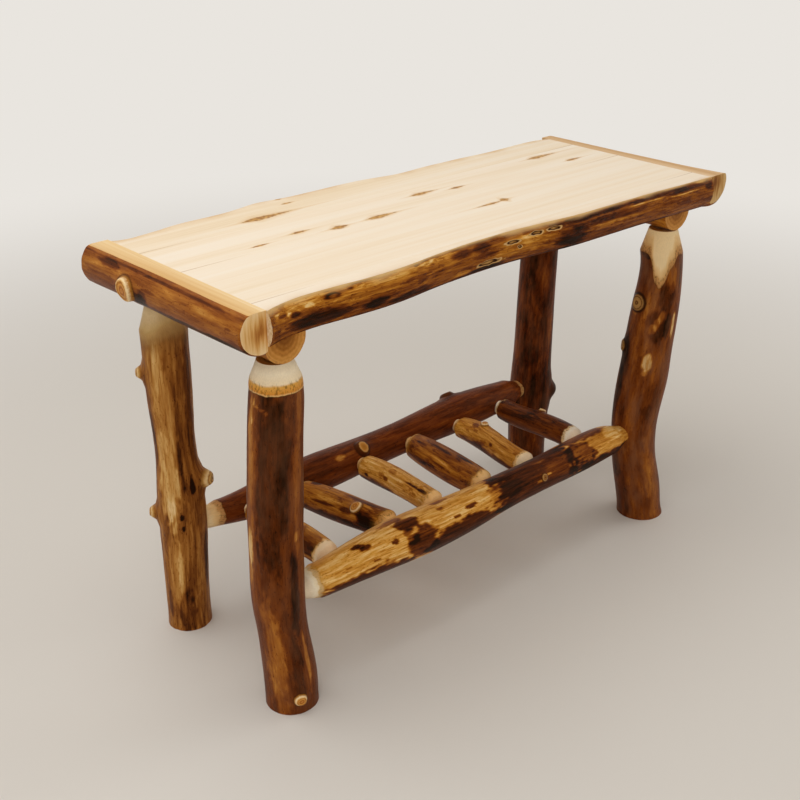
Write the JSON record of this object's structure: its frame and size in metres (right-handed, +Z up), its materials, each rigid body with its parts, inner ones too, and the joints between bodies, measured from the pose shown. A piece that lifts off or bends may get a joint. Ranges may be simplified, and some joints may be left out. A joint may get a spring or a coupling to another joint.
{
  "type": "sofa table",
  "caption": "Rustic sofa table of peeled logs: live-edge plank top between half-log end caps, bent log legs, log stretchers and a shelf of round slats.",
  "frame": {"origin": "on the floor under the middle of the whole table's box", "axes": "+X along the table to the right as in the picture, +Y from the front edge to the back edge, +Z up"},
  "size_m": [1.198, 0.4795, 0.762],
  "materials": {
    "sawn_aspen": "satin clear lacquer",
    "live_edge_slab": "satin clear lacquer",
    "golden_log": "satin clear lacquer",
    "dark_log": "satin clear lacquer",
    "tan_log": "satin clear lacquer",
    "red_brown_log": "satin clear lacquer",
    "dowel_wood": "raw",
    "screw_steel": "zinc plated"
  },
  "bodies": {
    "root": {"top_plank_wide": "sawn_aspen", "top_plank_middle": "sawn_aspen", "top_slab_front": "live_edge_slab", "top_slab_back": "live_edge_slab", "end_cap_left": "golden_log", "end_cap_right": "golden_log", "cross_rail_left": "golden_log", "cross_rail_right": "golden_log", "leg_front_left": "dark_log", "leg_front_right": "dark_log", "leg_back_right": "dark_log", "leg_back_left": "tan_log", "stretcher_front": "golden_log", "stretcher_back": "red_brown_log", "shelf_slat_1": "dark_log", "shelf_slat_2": "dark_log", "shelf_slat_3": "golden_log", "shelf_slat_4": "red_brown_log", "shelf_slat_5": "golden_log", "shelf_slat_6": "dark_log", "seam_dowels_front": "dowel_wood", "seam_dowels_middle": "dowel_wood", "seam_dowels_back": "dowel_wood", "cap_dowels_left": "dowel_wood", "cap_dowels_right": "dowel_wood", "rail_screws_left": "screw_steel", "rail_screws_right": "screw_steel", "rail_washers_left": "screw_steel", "rail_washers_right": "screw_steel"}
  },
  "joints": []
}
